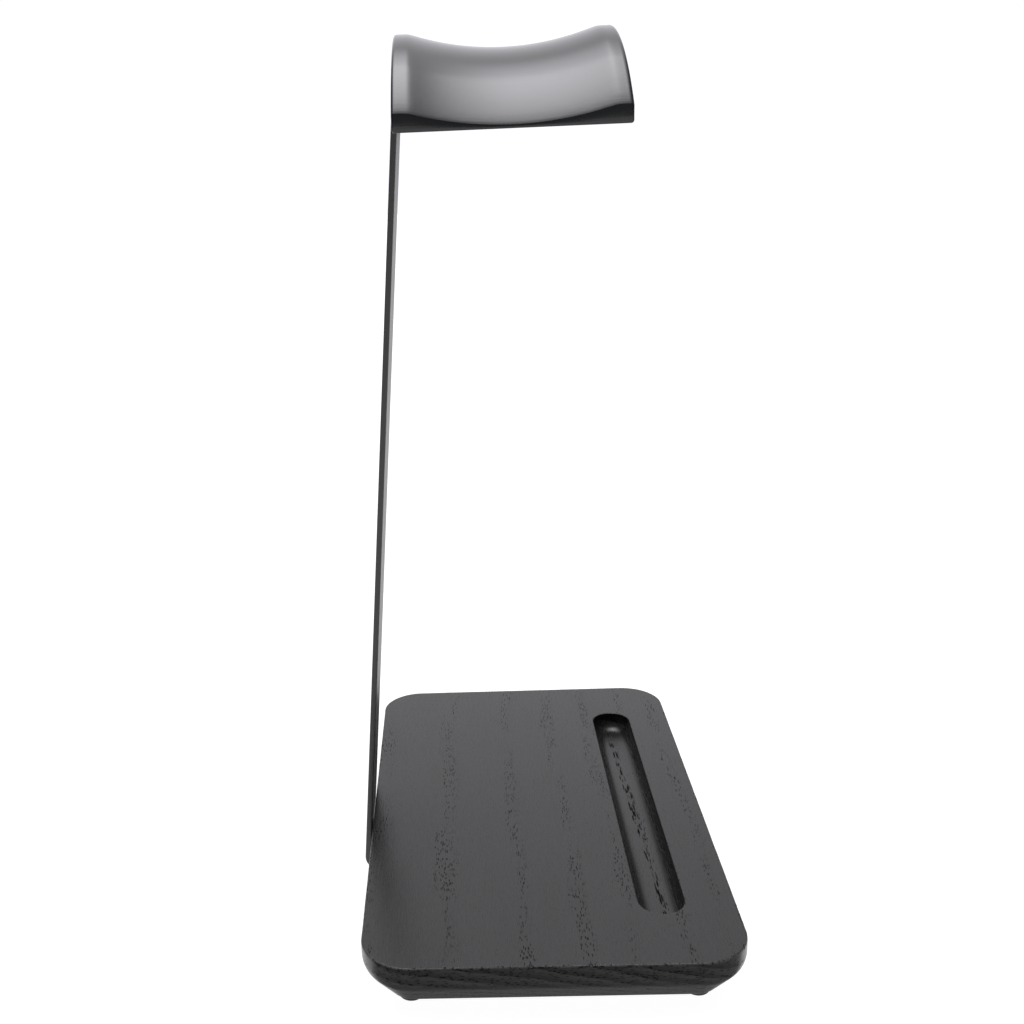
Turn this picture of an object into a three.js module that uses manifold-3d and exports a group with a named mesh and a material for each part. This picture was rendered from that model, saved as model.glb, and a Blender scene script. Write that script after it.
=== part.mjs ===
// Headphone stand: a wooden base board with a pen groove, a bent flat steel post and a wooden
// saddle that carries the headband. Millimetres, +Z up.
// X runs along the long side of the base, -Y is the front, and the post stands at the back (+Y).
// The origin is on the table, at the centre of the box that encloses the stand.

import * as THREE from 'three';
import * as BufferGeometryUtils from 'three/addons/utils/BufferGeometryUtils.js';
import Module from 'manifold-3d';

// ---- Driving dimensions ------------------------------------------------------------------------

const GAP = 0.3;                   // clearance between pieces that touch or are let into each other

// Base board
const BASE_LENGTH = 200.5;
const BASE_WIDTH = 123.4;
const BASE_THICKNESS = 18;
const BASE_CORNER_RADIUS = 16.5;
const BASE_EDGE_BAND = 7.2;        // height of the upright part of the edge
const BASE_BEVEL_INSET = 9;        // how far the bevel below that band runs in under the board
const BASE_EDGE_BLEND = 3;         // length of the soft turn from the band into the bevel
const BASE_EDGE_EASE = 0.5;        // rounding of the top edge

// Pen groove in the top of the base
const GROOVE_LENGTH = 148;
const GROOVE_WIDTH = 15.4;
const GROOVE_DEPTH = 6.6;
const GROOVE_COVE = 5.5;           // radius between the floor and the walls
const GROOVE_CENTRE_Y = -37.4;

// Rubber feet
const FOOT_RADIUS = 4.3;
const FOOT_HEIGHT = 2;
const FOOT_PAD_RADIUS = 2;         // flat patch that touches the table
const FOOT_X = 86;
const FOOT_Y = 46;
const FOOT_ADHESIVE = 0.1;         // left open between the foot and the board

// Post: one flat strip, bent at both ends
const POST_WIDTH = 33;
const POST_THICKNESS = 2;
const POST_BEND_RADIUS = 3;        // on the inside of each bend
const POST_LEAN = Math.atan(0.083); // the post leans forward over the base
const FOOT_TONGUE_FRONT_Y = 14;
const HEAD_TONGUE_FRONT_Y = -7;
const TONGUE_CORNER_RADIUS = 5;

// Headrest
const HEAD_BACK_Y = 41.35;
const HEAD_FRONT_Y = -27.45;
const HEAD_WIDTH = 118.6;
const HEAD_HEIGHT = 30.2;          // from its bottom plane to the two ridges
const HEAD_ABOVE_BASE = 248;       // its bottom plane above the top of the base
const HEAD_ARCH_RADIUS = 83;       // from side to side, over the top
const HEAD_RIDGE_WIDTH = 4.7;      // level ridges at the front and the back
const HEAD_SADDLE_DIP = 5.1;       // the hollow between the ridges, over the crest of the arch
const HEAD_END_DIP = 4.25;         // and at the arch's two ends
const HEAD_UNDERSIDE_HALF_WIDTH = 49.3;
const HEAD_UNDERSIDE_RISE = 12.5;
const HEAD_SEAT_HEIGHT = 14;       // flat seat for the post's upper tongue

// M4 fasteners
const SHANK_RADIUS = 2;
const SCREW_HEAD_RADIUS = 3.8;
const COUNTERSUNK_HEAD_HEIGHT = 1.8;
const COUNTERSUNK_LENGTH = 9;
const BUTTON_HEAD_HEIGHT = 2.2;
const BUTTON_LENGTH = 8.5;         // under the head
const SOCKET_ACROSS_FLATS = 2.5;
const SOCKET_DEPTH = 1.3;
const INSERT_RADIUS = 3.5;
const INSERT_LENGTH = 7;
const INSERT_GROOVE = 0.4;
const HOLE_BELOW_INSERT = 0.8;     // the drilled hole is a little deeper than the insert
const BASE_SCREW_PLACES = [[-9, 42], [9, 42], [0, 24]];
const HEAD_SCREW_PLACES = [[0, 26], [0, 4]];

// Fineness of the round shapes
const CORNER_SEGMENTS = 10;
const BEND_SEGMENTS = 10;
const ROUND_SEGMENTS = 24;
const BLEND_SEGMENTS = 3;
const ARCH_SEGMENTS = 28;
const SADDLE_SEGMENTS = 14;

// ---- Levels worked out from the driving dimensions ----------------------------------------------

const BASE_BOTTOM_Z = FOOT_HEIGHT + FOOT_ADHESIVE;
const BASE_TOP_Z = BASE_BOTTOM_Z + BASE_THICKNESS;
const HEAD_BOTTOM_Z = BASE_TOP_Z + HEAD_ABOVE_BASE;
const FOOT_TONGUE_Z = BASE_BOTTOM_Z + 0.2;
const BASE_RECESS_Z = FOOT_TONGUE_Z + POST_THICKNESS + GAP;
const HEAD_SEAT_Z = HEAD_BOTTOM_Z + HEAD_SEAT_HEIGHT;
const HEAD_TONGUE_TOP_Z = HEAD_SEAT_Z - GAP;
const HEAD_TONGUE_BOTTOM_Z = HEAD_TONGUE_TOP_Z - POST_THICKNESS;
const OVERCUT = 2;                 // how far a cutter runs past the face that it opens

const BLACK_WOOD = { color: 0x26252a, roughness: 0.72, metalness: 0 };
const BLACK_LACQUER = { color: 0x17171a, roughness: 0.28, metalness: 0 };
const BLACK_POWDER_COAT = { color: 0x1c1c1e, roughness: 0.5, metalness: 0.3 };
const BLACK_STEEL = { color: 0x303134, roughness: 0.4, metalness: 0.9 };
const BRASS = { color: 0xb5914a, roughness: 0.35, metalness: 1 };
const BLACK_RUBBER = { color: 0x101011, roughness: 0.9, metalness: 0 };

// ---- Solids: cutting and joining ----------------------------------------------------------------

const wasm = await Module();
wasm.setup();

function toSolid(geometry) {
  const bare = geometry.clone();
  bare.deleteAttribute('normal');
  bare.deleteAttribute('uv');
  const merged = BufferGeometryUtils.mergeVertices(bare);
  const vertProperties = new Float32Array(merged.attributes.position.array);
  const triVerts = new Uint32Array(merged.index.array);
  return new wasm.Manifold(new wasm.Mesh({ numProp: 3, vertProperties, triVerts }));
}

function toGeometry(solid) {
  const mesh = solid.getMesh();
  const geometry = new THREE.BufferGeometry();
  geometry.setAttribute('position', new THREE.BufferAttribute(mesh.vertProperties, 3));
  geometry.setIndex(new THREE.BufferAttribute(mesh.triVerts, 1));
  geometry.computeVertexNormals();
  return geometry;
}

function cut(geometry, cutters) {
  let solid = toSolid(geometry);
  for (const cutter of cutters) {
    solid = solid.subtract(toSolid(cutter));
  }
  return toGeometry(solid);
}

// ---- Basic shapes -------------------------------------------------------------------------------

// A closed body turned about a vertical axis. points: [radius, height], anticlockwise.
function turned(points, segments = ROUND_SEGMENTS) {
  const profile = points.map(([radius, height]) => new THREE.Vector2(radius, height));
  return new THREE.LatheGeometry(profile, segments).rotateX(Math.PI / 2);
}

// A box given by its lowest and highest corners.
function boxBetween(low, high) {
  const size = high.map((value, i) => value - low[i]);
  const centre = high.map((value, i) => (value + low[i]) / 2);
  return new THREE.BoxGeometry(...size).translate(...centre);
}

// A shape drawn in the YZ plane and extruded along X, centred on X = 0.
function extrudedAlongX(shape, width, curveSegments) {
  const options = { depth: width, steps: 1, curveSegments, bevelEnabled: false };
  const geometry = new THREE.ExtrudeGeometry(shape, options);
  const axes = new THREE.Matrix4().makeBasis(
    new THREE.Vector3(0, 1, 0),
    new THREE.Vector3(0, 0, 1),
    new THREE.Vector3(1, 0, 0),
  );
  return geometry.applyMatrix4(axes).translate(-width / 2, 0, 0);
}

function roundedRectangle(length, width, radius) {
  const x = length / 2 - radius;
  const y = width / 2 - radius;
  const shape = new THREE.Shape();
  shape.absarc(x, y, radius, 0, Math.PI / 2);
  shape.absarc(-x, y, radius, Math.PI / 2, Math.PI);
  shape.absarc(-x, -y, radius, Math.PI, 1.5 * Math.PI);
  shape.absarc(x, -y, radius, 1.5 * Math.PI, 2 * Math.PI);
  return shape;
}

function stadium(length, width) {
  const radius = width / 2;
  const x = length / 2 - radius;
  const shape = new THREE.Shape();
  shape.absarc(x, 0, radius, -Math.PI / 2, Math.PI / 2);
  shape.absarc(-x, 0, radius, Math.PI / 2, 1.5 * Math.PI);
  return shape;
}

// A prism on an outline whose every point lies `radius` away from a core rectangle. Its wall
// follows a profile of points (x: how far the wall is set in, y: height), from bottom to top.
function profiledPrism(outline, length, width, radius, profile) {
  const steps = profile.length - 1;
  const options = { depth: steps, steps, curveSegments: CORNER_SEGMENTS, bevelEnabled: false };
  const geometry = new THREE.ExtrudeGeometry(outline, options);
  const coreX = length / 2 - radius;
  const coreY = width / 2 - radius;
  const position = geometry.attributes.position;
  for (let i = 0; i < position.count; i += 1) {
    const level = profile[Math.round(position.getZ(i))];
    const x = THREE.MathUtils.clamp(position.getX(i), -coreX, coreX);
    const y = THREE.MathUtils.clamp(position.getY(i), -coreY, coreY);
    const scale = (radius - level.x) / radius;
    position.setXYZ(i, x + (position.getX(i) - x) * scale, y + (position.getY(i) - y) * scale, level.y);
  }
  return geometry;
}

// ---- Base board ---------------------------------------------------------------------------------

// The edge of the board from the underside up: bevel, soft turn, upright band, eased top edge.
function baseEdgeProfile() {
  const bevelTop = BASE_THICKNESS - BASE_EDGE_BAND;
  const bevel = new THREE.Vector2(-BASE_BEVEL_INSET, bevelTop).normalize();
  const path = new THREE.Path();
  path.moveTo(BASE_BEVEL_INSET, 0);
  path.lineTo(-bevel.x * BASE_EDGE_BLEND, bevelTop - bevel.y * BASE_EDGE_BLEND);
  path.quadraticCurveTo(0, bevelTop, 0, bevelTop + BASE_EDGE_BLEND);
  path.lineTo(0, BASE_THICKNESS - BASE_EDGE_EASE);
  path.quadraticCurveTo(0, BASE_THICKNESS, BASE_EDGE_EASE, BASE_THICKNESS);
  return path.getPoints(BLEND_SEGMENTS);
}

function grooveCutter() {
  const path = new THREE.Path();
  path.moveTo(GROOVE_COVE, 0);
  path.absarc(GROOVE_COVE, GROOVE_COVE, GROOVE_COVE, -Math.PI / 2, -Math.PI, true);
  path.lineTo(0, GROOVE_DEPTH + OVERCUT);
  const outline = stadium(GROOVE_LENGTH, GROOVE_WIDTH);
  const profile = path.getPoints(BLEND_SEGMENTS);
  return profiledPrism(outline, GROOVE_LENGTH, GROOVE_WIDTH, GROOVE_WIDTH / 2, profile)
    .translate(0, GROOVE_CENTRE_Y, BASE_TOP_Z - GROOVE_DEPTH);
}

// The blind hole for a threaded insert, drilled upwards from a seat at height z.
function insertHole(x, y, z) {
  const depth = INSERT_LENGTH + HOLE_BELOW_INSERT;
  const radius = INSERT_RADIUS + GAP;
  return turned([[0, -OVERCUT], [radius, -OVERCUT], [radius, depth], [0, depth]]).translate(x, y, z);
}

function baseBoard() {
  const outline = roundedRectangle(BASE_LENGTH, BASE_WIDTH, BASE_CORNER_RADIUS);
  const board = profiledPrism(outline, BASE_LENGTH, BASE_WIDTH, BASE_CORNER_RADIUS, baseEdgeProfile())
    .translate(0, 0, BASE_BOTTOM_Z);
  const slotHalf = POST_WIDTH / 2 + GAP;
  const recess = boxBetween(
    [-slotHalf, FOOT_TONGUE_FRONT_Y - GAP, BASE_BOTTOM_Z - OVERCUT],
    [slotHalf, BASE_WIDTH / 2 + OVERCUT, BASE_RECESS_Z],
  );
  const holes = BASE_SCREW_PLACES.map(([x, y]) => insertHole(x, y, BASE_RECESS_Z));
  return cut(board, [grooveCutter(), recess, ...holes]);
}

// ---- Post ---------------------------------------------------------------------------------------

// The Y of a bend's centre at height z, so that the bend runs tangent into the leaning strip.
function bendCentreY(z) {
  const innerFaceY = BASE_WIDTH / 2 + GAP;
  return innerFaceY - POST_BEND_RADIUS / Math.cos(POST_LEAN) - (z - BASE_TOP_Z) * Math.tan(POST_LEAN);
}

// The strip seen from the side: foot tongue, bend, leaning upright, bend, head tongue.
function postOutline() {
  const inner = POST_BEND_RADIUS;
  const outer = POST_BEND_RADIUS + POST_THICKNESS;
  const lowZ = FOOT_TONGUE_Z + outer;
  const highZ = HEAD_TONGUE_TOP_Z - outer;
  const lowY = bendCentreY(lowZ);
  const highY = bendCentreY(highZ);
  const shape = new THREE.Shape();
  shape.moveTo(FOOT_TONGUE_FRONT_Y, FOOT_TONGUE_Z);
  shape.absarc(lowY, lowZ, outer, -Math.PI / 2, POST_LEAN);
  shape.absarc(highY, highZ, outer, POST_LEAN, Math.PI / 2);
  shape.lineTo(HEAD_TONGUE_FRONT_Y, HEAD_TONGUE_TOP_Z);
  shape.lineTo(HEAD_TONGUE_FRONT_Y, HEAD_TONGUE_BOTTOM_Z);
  shape.absarc(highY, highZ, inner, Math.PI / 2, POST_LEAN, true);
  shape.absarc(lowY, lowZ, inner, POST_LEAN, -Math.PI / 2, true);
  shape.lineTo(FOOT_TONGUE_FRONT_Y, FOOT_TONGUE_Z + POST_THICKNESS);
  shape.closePath();
  return shape;
}

// What is cut away to round one front corner of a tongue. side is -1 or 1.
function tongueCornerCutter(side, frontY, z) {
  const radius = TONGUE_CORNER_RADIUS;
  const cornerX = side * POST_WIDTH / 2;
  const centreX = cornerX - side * radius;
  const lowX = Math.min(centreX, cornerX + side * OVERCUT);
  const highX = Math.max(centreX, cornerX + side * OVERCUT);
  const block = boxBetween(
    [lowX, frontY - OVERCUT, z - OVERCUT],
    [highX, frontY + radius, z + POST_THICKNESS + OVERCUT],
  );
  const reach = 2 * OVERCUT;
  const drum = turned([[0, -reach], [radius, -reach], [radius, reach + radius], [0, reach + radius]])
    .translate(centreX, frontY + radius, z);
  return toGeometry(toSolid(block).subtract(toSolid(drum)));
}

function countersunkHole(x, y) {
  const clearance = SHANK_RADIUS + GAP;
  const mouth = SCREW_HEAD_RADIUS + 1.5 * GAP;
  const coneTop = mouth - clearance;
  const points = [
    [0, -OVERCUT],
    [mouth + OVERCUT, -OVERCUT],
    [clearance, coneTop],
    [clearance, POST_THICKNESS + OVERCUT],
    [0, POST_THICKNESS + OVERCUT],
  ];
  return turned(points).translate(x, y, FOOT_TONGUE_Z);
}

function plainHole(x, y) {
  const radius = SHANK_RADIUS + GAP;
  const top = POST_THICKNESS + OVERCUT;
  return turned([[0, -OVERCUT], [radius, -OVERCUT], [radius, top], [0, top]])
    .translate(x, y, HEAD_TONGUE_BOTTOM_Z);
}

function postStrip() {
  const strip = extrudedAlongX(postOutline(), POST_WIDTH, BEND_SEGMENTS);
  const corners = [-1, 1].flatMap((side) => [
    tongueCornerCutter(side, FOOT_TONGUE_FRONT_Y, FOOT_TONGUE_Z),
    tongueCornerCutter(side, HEAD_TONGUE_FRONT_Y, HEAD_TONGUE_BOTTOM_Z),
  ]);
  const footHoles = BASE_SCREW_PLACES.map(([x, y]) => countersunkHole(x, y));
  const headHoles = HEAD_SCREW_PLACES.map(([x, y]) => plainHole(x, y));
  return cut(strip, [...corners, ...footHoles, ...headHoles]);
}

// ---- Headrest -----------------------------------------------------------------------------------

// Height of the arch above the headrest's bottom plane, x from the middle.
function archHeight(x) {
  const drop = HEAD_ARCH_RADIUS - Math.sqrt(HEAD_ARCH_RADIUS ** 2 - x ** 2);
  return HEAD_HEIGHT - drop;
}

// Depth of the saddle below the ridges, x and y from the middle of the headrest.
function saddleDepth(x, y, halfChord) {
  const towardsEnd = (x / (HEAD_WIDTH / 2)) ** 2;
  const dip = THREE.MathUtils.lerp(HEAD_SADDLE_DIP, HEAD_END_DIP, towardsEnd);
  const radius = (halfChord ** 2 + dip ** 2) / (2 * dip);
  const depth = Math.sqrt(radius ** 2 - Math.min(Math.abs(y), halfChord) ** 2) - (radius - dip);
  return Math.max(depth, 0);
}

// The block with its arched and dished top. The grid's outer rows are the two level ridges.
function headrestBlock() {
  const length = HEAD_BACK_Y - HEAD_FRONT_Y;
  const halfChord = length / 2 - HEAD_RIDGE_WIDTH;
  const rows = SADDLE_SEGMENTS + 2;
  const block = new THREE.BoxGeometry(HEAD_WIDTH, rows, 1, ARCH_SEGMENTS, rows, 1);
  const position = block.attributes.position;
  for (let i = 0; i < position.count; i += 1) {
    const row = Math.round(position.getY(i));
    const inSaddle = Math.abs(row) < rows / 2;
    const y = inSaddle ? (row / (rows / 2 - 1)) * halfChord : Math.sign(row) * length / 2;
    const x = position.getX(i);
    const top = archHeight(x) - saddleDepth(x, y, halfChord);
    position.setY(i, y);
    position.setZ(i, position.getZ(i) > 0 ? top : 0);
  }
  return block.translate(0, (HEAD_BACK_Y + HEAD_FRONT_Y) / 2, HEAD_BOTTOM_Z);
}

// The shallow arch cut right through under the headrest, from front to back.
function undersideCutter() {
  const half = HEAD_UNDERSIDE_HALF_WIDTH;
  const rise = HEAD_UNDERSIDE_RISE;
  const radius = (half ** 2 + rise ** 2) / (2 * rise);
  const angle = Math.asin(half / radius);
  const shape = new THREE.Shape();
  shape.moveTo(-half, -OVERCUT);
  shape.lineTo(half, -OVERCUT);
  shape.absarc(0, rise - radius, radius, Math.PI / 2 - angle, Math.PI / 2 + angle);
  shape.closePath();
  const depth = HEAD_BACK_Y - HEAD_FRONT_Y + 2 * OVERCUT;
  const options = { depth, steps: 1, curveSegments: ARCH_SEGMENTS, bevelEnabled: false };
  return new THREE.ExtrudeGeometry(shape, options)
    .rotateX(Math.PI / 2)
    .translate(0, HEAD_BACK_Y + OVERCUT, HEAD_BOTTOM_Z);
}

function headrest() {
  const half = POST_WIDTH / 2 + GAP;
  const seat = boxBetween(
    [-half, HEAD_TONGUE_FRONT_Y - GAP, HEAD_BOTTOM_Z - OVERCUT],
    [half, HEAD_BACK_Y + OVERCUT, HEAD_SEAT_Z],
  );
  const holes = HEAD_SCREW_PLACES.map(([x, y]) => insertHole(x, y, HEAD_SEAT_Z));
  return cut(headrestBlock(), [undersideCutter(), seat, ...holes]);
}

// ---- Fasteners and feet -------------------------------------------------------------------------

function socketCutter() {
  const radius = SOCKET_ACROSS_FLATS / 2 / Math.cos(Math.PI / 6);
  return new THREE.CylinderGeometry(radius, radius, 2 * SOCKET_DEPTH, 6).rotateX(Math.PI / 2);
}

// Screws point up, with the head's outer face at height 0.
function countersunkScrew() {
  const body = turned([
    [0, 0],
    [SCREW_HEAD_RADIUS, 0],
    [SHANK_RADIUS, COUNTERSUNK_HEAD_HEIGHT],
    [SHANK_RADIUS, COUNTERSUNK_LENGTH],
    [0, COUNTERSUNK_LENGTH],
  ]);
  return cut(body, [socketCutter()]);
}

function buttonScrew() {
  const radius = SCREW_HEAD_RADIUS;
  const body = turned([
    [0, 0],
    [radius * 0.55, 0],
    [radius * 0.85, BUTTON_HEAD_HEIGHT * 0.3],
    [radius, BUTTON_HEAD_HEIGHT * 0.75],
    [radius, BUTTON_HEAD_HEIGHT],
    [SHANK_RADIUS, BUTTON_HEAD_HEIGHT],
    [SHANK_RADIUS, BUTTON_HEAD_HEIGHT + BUTTON_LENGTH],
    [0, BUTTON_HEAD_HEIGHT + BUTTON_LENGTH],
  ]);
  return cut(body, [socketCutter()]);
}

// A threaded insert: a sleeve with a waist between its two gripping bands.
function threadedInsert() {
  const bore = SHANK_RADIUS + GAP;
  const waist = INSERT_RADIUS - INSERT_GROOVE;
  return turned([
    [bore, 0],
    [INSERT_RADIUS, 0],
    [INSERT_RADIUS, INSERT_LENGTH * 0.4],
    [waist, INSERT_LENGTH * 0.45],
    [waist, INSERT_LENGTH * 0.6],
    [INSERT_RADIUS, INSERT_LENGTH * 0.65],
    [INSERT_RADIUS, INSERT_LENGTH],
    [bore, INSERT_LENGTH],
    [bore, 0],
  ]);
}

// A domed rubber bumper with a flat patch on the table.
function bumperFoot() {
  const path = new THREE.Path();
  path.moveTo(0, 0);
  path.lineTo(FOOT_PAD_RADIUS, 0);
  path.quadraticCurveTo(FOOT_RADIUS, 0, FOOT_RADIUS, FOOT_HEIGHT * 0.7);
  path.lineTo(FOOT_RADIUS, FOOT_HEIGHT);
  path.lineTo(0, FOOT_HEIGHT);
  return turned(path.getPoints(BLEND_SEGMENTS * 2).map((point) => [point.x, point.y]));
}

// ---- Assembly -----------------------------------------------------------------------------------

const stand = new THREE.Group();

function add(name, geometry, look, place = [0, 0, 0]) {
  const mesh = new THREE.Mesh(geometry, new THREE.MeshStandardMaterial(look));
  mesh.name = name;
  mesh.position.set(...place);
  stand.add(mesh);
}

add('base_board', baseBoard(), BLACK_WOOD);
add('post_strip', postStrip(), BLACK_POWDER_COAT);
add('headrest', headrest(), BLACK_LACQUER);

BASE_SCREW_PLACES.forEach(([x, y], i) => {
  add(`base_insert_${i + 1}`, threadedInsert(), BRASS, [x, y, BASE_RECESS_Z]);
  add(`base_screw_${i + 1}`, countersunkScrew(), BLACK_STEEL, [x, y, FOOT_TONGUE_Z + GAP / 3]);
});

HEAD_SCREW_PLACES.forEach(([x, y], i) => {
  const headZ = HEAD_TONGUE_BOTTOM_Z - GAP / 2 - BUTTON_HEAD_HEIGHT;
  add(`headrest_insert_${i + 1}`, threadedInsert(), BRASS, [x, y, HEAD_SEAT_Z]);
  add(`headrest_screw_${i + 1}`, buttonScrew(), BLACK_STEEL, [x, y, headZ]);
});

const FOOT_CORNERS = [[-1, -1], [1, -1], [1, 1], [-1, 1]];
FOOT_CORNERS.forEach(([sideX, sideY], i) => {
  add(`foot_${i + 1}`, bumperFoot(), BLACK_RUBBER, [sideX * FOOT_X, sideY * FOOT_Y, 0]);
});

// The post stands out behind the base, so the origin is a little behind the base's own centre.
const outerBend = POST_BEND_RADIUS + POST_THICKNESS;
const backY = bendCentreY(FOOT_TONGUE_Z + outerBend) + outerBend;
stand.position.y = -(backY - BASE_WIDTH / 2) / 2;

export default stand;
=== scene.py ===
"""Looks of the headphone stand: a stained wooden base with a pen groove, a bent steel strip and
a lacquered saddle. Shapes are worked out in millimetres and become metres in mesh_from()."""

import math

import bmesh
import bpy
import numpy as np
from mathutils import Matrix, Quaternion, Vector, noise


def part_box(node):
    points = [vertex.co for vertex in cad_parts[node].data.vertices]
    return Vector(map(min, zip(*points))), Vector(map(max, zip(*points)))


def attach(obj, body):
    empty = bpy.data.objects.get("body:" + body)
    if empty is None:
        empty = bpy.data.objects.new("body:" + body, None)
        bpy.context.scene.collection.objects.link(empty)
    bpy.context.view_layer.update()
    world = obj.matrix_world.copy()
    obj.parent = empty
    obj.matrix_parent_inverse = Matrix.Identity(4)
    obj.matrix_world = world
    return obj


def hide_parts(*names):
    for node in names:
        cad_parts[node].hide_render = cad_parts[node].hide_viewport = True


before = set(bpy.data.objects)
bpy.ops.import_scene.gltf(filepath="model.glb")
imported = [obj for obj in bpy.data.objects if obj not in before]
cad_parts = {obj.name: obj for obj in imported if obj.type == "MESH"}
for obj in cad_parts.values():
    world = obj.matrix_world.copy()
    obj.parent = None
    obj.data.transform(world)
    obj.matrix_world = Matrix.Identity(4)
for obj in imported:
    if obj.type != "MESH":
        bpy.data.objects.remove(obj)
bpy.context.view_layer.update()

MM = 0.001                      # one millimetre in the scene's units
SHARP_ANGLE = math.radians(33)  # edges that turn more than this are shaded as sharp
QUARTER = math.pi / 2

# ---- Driving dimensions in millimetres ----------------------------------------------------------


def node_box(node):
    low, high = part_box(node)
    return np.array(low) / MM, np.array(high) / MM


BASE_LOW, BASE_HIGH = node_box("base_board")
HEAD_LOW, HEAD_HIGH = node_box("headrest")
POST_LOW, POST_HIGH = node_box("post_strip")

CLEARANCE = 0.3

BASE_CENTRE = (BASE_LOW + BASE_HIGH) / 2
BASE_CORNER_RADIUS = 16.5
BASE_BAND = 7.2                 # upright part of the edge
BASE_BEVEL_INSET = 9.0
BASE_BLEND = 3.0                # soft turn from the band into the bevel
BASE_EASE = 0.45                # rounding of the top edge
BASE_LOWER_EASE = 0.5
BASE_POINT_SPACING = 0.9
WORN_DEPTH = 0.09               # how much the worn top edge wanders
WORN_REACH = (1.6, 1.4)         # how far in from the edge and down from the top it does
EDGE_WEAR_REACH = 0.6           # how far from the top edge the stain is rubbed
LIP_WEAR = 0.35                 # how much the lip of the groove is, where the edge is 1
LIP_WEAR_REACH = 0.8

GROOVE_LENGTH = 148.0
GROOVE_WIDTH = 15.4
GROOVE_DEPTH = 6.6
GROOVE_COVE = 5.5
GROOVE_LIP = 0.4
GROOVE_FROM_FRONT = 24.3        # from the front edge of the base to the middle of the groove
GROOVE_CENTRE = np.array((BASE_CENTRE[0], BASE_LOW[1] + GROOVE_FROM_FRONT))

POST_LEAN = math.atan(0.083)
POST_THICKNESS = 2.0
POST_BEND = 3.0                 # inside radius of both bends
POST_EDGE = 0.35
POST_CORNER = 5.0               # rounded corners of the two tongues
UPRIGHT_STATIONS = (0.004, 0.02, 0.25, 0.5, 0.75, 0.98, 0.996)  # shares of its length
SCREW_HOLE = 2.3                # radius of the strip's holes
FOOT_TONGUE_FROM_BACK = 51.052  # reach of the lower tongue, from the post's back
FOOT_TONGUE_RECESS = 0.3

ARCH_RADIUS = 83.0
RIDGE_WIDTH = 4.7
SADDLE_DIP = 5.1                # over the crest of the arch
SADDLE_END_DIP = 4.25           # at the two ends of the arch
SADDLE_SOFTNESS = 0.3           # rounds the turn between a ridge and the saddle
HEAD_END_ROUNDING = 0.9
HEAD_FILLET = 0.3
ARCH_STEPS = 100                # across the top of the headrest
HOLLOW_STEPS = 60               # across the arch underneath it
RIDGE_STATIONS = (2, 1.2, 0.7, 0.3, 0, -0.3, -0.7, -1.2, -2)  # from where a ridge begins
UNDERSIDE_HALF = 49.3           # half the width of the arch underneath
UNDERSIDE_RISE = 12.5           # its height

THREAD_PITCH = 0.7
THREAD_DEPTH = 0.3
SOCKET_FLATS = 2.5
SOCKET_DEPTH = 1.3
SHANK_RADIUS = 2.0
HEAD_RADIUS = 3.8
COUNTERSUNK_LENGTH = 9.0
BUTTON_LENGTH = 10.7
INSERT_LENGTH = 7.0
BORE_RADIUS = 2.62
INSERT_RADIUS = 3.5
KNURLS = 20
KNURL_DEPTH = 0.16
KNURL_SLANT = 2.2               # turn of a knurl, in radians per millimetre of height

# ---- Meshes -------------------------------------------------------------------------------------


def mesh_from(name, points, faces, place=(0, 0, 0)):
    """An object from points in millimetres around its place, smooth but for its sharp edges."""
    mesh = bpy.data.meshes.new(name)
    mesh.from_pydata([Vector(point) * MM for point in points], [], faces)
    piece = bpy.data.objects.new(name, mesh)
    bpy.context.scene.collection.objects.link(piece)
    piece.location = Vector(place) * MM
    face_outwards(mesh)
    return piece


def face_outwards(mesh):
    shape = bmesh.new()
    shape.from_mesh(mesh)
    bmesh.ops.remove_doubles(shape, verts=shape.verts, dist=1e-7)
    bmesh.ops.recalc_face_normals(shape, faces=shape.faces)
    shape.to_mesh(mesh)
    shape.free()
    shade(mesh)


def shade(mesh):
    mesh.polygons.foreach_set("use_smooth", [True] * len(mesh.polygons))
    mesh.set_sharp_from_angle(angle=SHARP_ANGLE)


def loft_faces(rings, count, closed=False):
    """Quads between rings of `count` points each. closed joins the last ring to the first."""
    faces = []
    for ring in range(rings if closed else rings - 1):
        here = ring * count
        there = ((ring + 1) % rings) * count
        for i in range(count):
            j = (i + 1) % count
            faces.append((here + i, here + j, there + j, there + i))
    return faces


def loft(name, rings, place=(0, 0, 0), closed=False):
    """A closed body through rings of points. Open lofts get a flat cap at each end."""
    count = len(rings[0])
    points = [point for ring in rings for point in ring]
    faces = loft_faces(len(rings), count, closed)
    if not closed:
        faces.append(tuple(reversed(range(count))))
        faces.append(tuple(range(len(points) - count, len(points))))
    return mesh_from(name, points, faces, place)


def cut(piece, cutters):
    """Takes the cutters' shapes out of the piece and removes the cutters."""
    for cutter in cutters:
        step = piece.modifiers.new("cut", "BOOLEAN")
        step.operation = "DIFFERENCE"
        step.solver = "EXACT"
        step.object = cutter
    bpy.context.view_layer.update()
    graph = bpy.context.evaluated_depsgraph_get()
    mesh = bpy.data.meshes.new_from_object(piece.evaluated_get(graph))
    mesh.name = piece.name
    piece.modifiers.clear()
    piece.data = mesh
    shade(mesh)
    for cutter in cutters:
        bpy.data.objects.remove(cutter)
    return piece


def box_cutter(low, high):
    ring = [(low[0], low[1]), (high[0], low[1]), (high[0], high[1]), (low[0], high[1])]
    return loft("cutter", [[(x, y, z) for x, y in ring] for z in (low[2], high[2])])


def turned(name, rows, around, place=(0, 0, 0), closed=False):
    """A body turned about the Z axis. rows: (radius, height); a radius may depend on the angle."""
    angles = [2 * math.pi * i / around for i in range(around)]
    rings = []
    for radius, height in rows:
        reach = radius if callable(radius) else lambda angle, fixed=radius: fixed
        rings.append([
            (reach(angle) * math.cos(angle), reach(angle) * math.sin(angle), height)
            for angle in angles
        ])
    return loft(name, rings, place, closed)


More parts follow.
